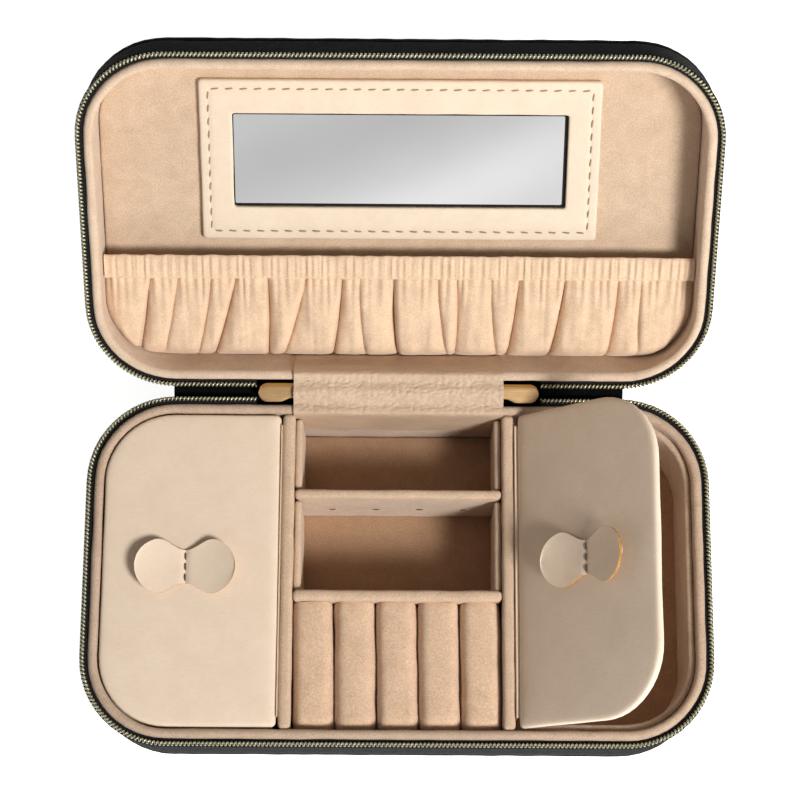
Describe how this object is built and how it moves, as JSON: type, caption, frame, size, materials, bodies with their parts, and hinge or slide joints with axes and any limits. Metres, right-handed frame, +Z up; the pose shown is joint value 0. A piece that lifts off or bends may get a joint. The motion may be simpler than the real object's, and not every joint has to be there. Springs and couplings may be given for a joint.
{
  "type": "jewelry box",
  "caption": "Soft travel jewelry case with a hinged lid, mirror, gathered pocket, ring rolls, a lift-out divider and covered side compartments.",
  "frame": {"origin": "centre of the base's flat underside", "axes": "+Z up, +Y towards the hinge and the open lid, +X to the right of someone facing the hinge"},
  "size_m": [0.2, 0.2107, 0.1103],
  "materials": {
    "velvet": "short-pile black velvet over stiff board",
    "lining": "cream leatherette rim, brushed suede below",
    "suede": "beige brushed microfibre suede",
    "roll_suede": "peach brushed microfibre suede over foam",
    "zip_coil": "metallised olive gold nylon coil",
    "zip_tape": "black woven tape",
    "leatherette": "smooth cream leatherette",
    "web_leatherette": "creased cream leatherette",
    "pocket_fabric": "soft peach brushed fabric, gathered",
    "mirror": "polished mirror",
    "backing_board": "black board",
    "zip_metal": "brushed pale gold plating"
  },
  "bodies": {
    "base": {"base_outer_shell": "velvet", "base_rim_liner": "lining", "base_floor_pad": "suede", "base_zip_coil": "zip_coil", "base_zip_tape": "zip_tape", "bay_wall_left": "suede", "bay_wall_right": "suede", "cross_wall": "suede", "side_panel_rear_left": "suede", "side_panel_rear_right": "suede", "side_panel_front_left": "suede", "side_panel_front_right": "suede", "ring_roll_1": "roll_suede", "ring_roll_2": "roll_suede", "ring_roll_3": "roll_suede", "ring_roll_4": "roll_suede", "ring_roll_5": "roll_suede", "compartment_liner_left": "suede", "compartment_liner_right": "suede", "cover_hinge_strip_left": "web_leatherette", "cover_hinge_strip_right": "web_leatherette", "spine": "velvet", "hinge_web": "web_leatherette"},
    "lid": {"lid_outer_shell": "velvet", "lid_rim_liner": "lining", "lid_panel": "suede", "lid_zip_coil": "zip_coil", "lid_zip_tape": "zip_tape", "mirror_frame": "leatherette", "mirror_backing": "backing_board", "mirror_glass": "mirror", "gathered_pocket": "pocket_fabric", "pocket_elastic_band": "pocket_fabric"},
    "left_cover": {"cover_left": "leatherette", "bow_pull_left": "leatherette"},
    "right_cover": {"cover_right": "leatherette", "bow_pull_right": "leatherette"},
    "divider": {"removable_divider": "suede"},
    "left_slider": {"zip_slider_left": "zip_metal", "pull_pin_left": "zip_metal"},
    "right_slider": {"zip_slider_right": "zip_metal", "pull_pin_right": "zip_metal"},
    "left_pull": {"pull_tab_left": "zip_metal"},
    "right_pull": {"pull_tab_right": "zip_metal"}
  },
  "joints": [
    {"name": "lid_hinge", "type": "hinge", "parent": "base", "child": "lid", "pos_m": [0, 0.05772, 0.035], "axis": [-1, 0, 0], "range_deg": [-138.44, 0], "deforming": ["hinge_web", "spine"]},
    {"name": "left_cover_hinge", "type": "hinge", "parent": "base", "child": "left_cover", "pos_m": [-0.03755, 0, 0.0346], "axis": [0, 1, 0], "range_deg": [0, 92]},
    {"name": "right_cover_hinge", "type": "hinge", "parent": "base", "child": "right_cover", "pos_m": [0.03755, 0, 0.0346], "axis": [0, -1, 0], "range_deg": [-44.5, 47.5]},
    {"name": "divider_lift", "type": "slide", "parent": "base", "child": "divider", "axis": [0, 0, 1], "range_m": [0, 0.031]},
    {"name": "left_slider_run", "type": "slide", "parent": "base", "child": "left_slider", "axis": [-1, 0, 0], "range_m": [0, 0.03]},
    {"name": "right_slider_run", "type": "slide", "parent": "base", "child": "right_slider", "axis": [1, 0, 0], "range_m": [0, 0.03]},
    {"name": "left_pull_hinge", "type": "hinge", "parent": "left_slider", "child": "left_pull", "pos_m": [-0.0293, 0.05725, 0.03623], "axis": [0, 0.9349, 0.3548], "range_deg": [0, 150]},
    {"name": "right_pull_hinge", "type": "hinge", "parent": "right_slider", "child": "right_pull", "pos_m": [0.0293, 0.05725, 0.03623], "axis": [0, -0.9349, -0.3548], "range_deg": [0, 150]}
  ],
  "couplings": [
    {"joint": "right_cover_hinge", "follows": "lid_hinge", "ratio": 0.32144}
  ]
}
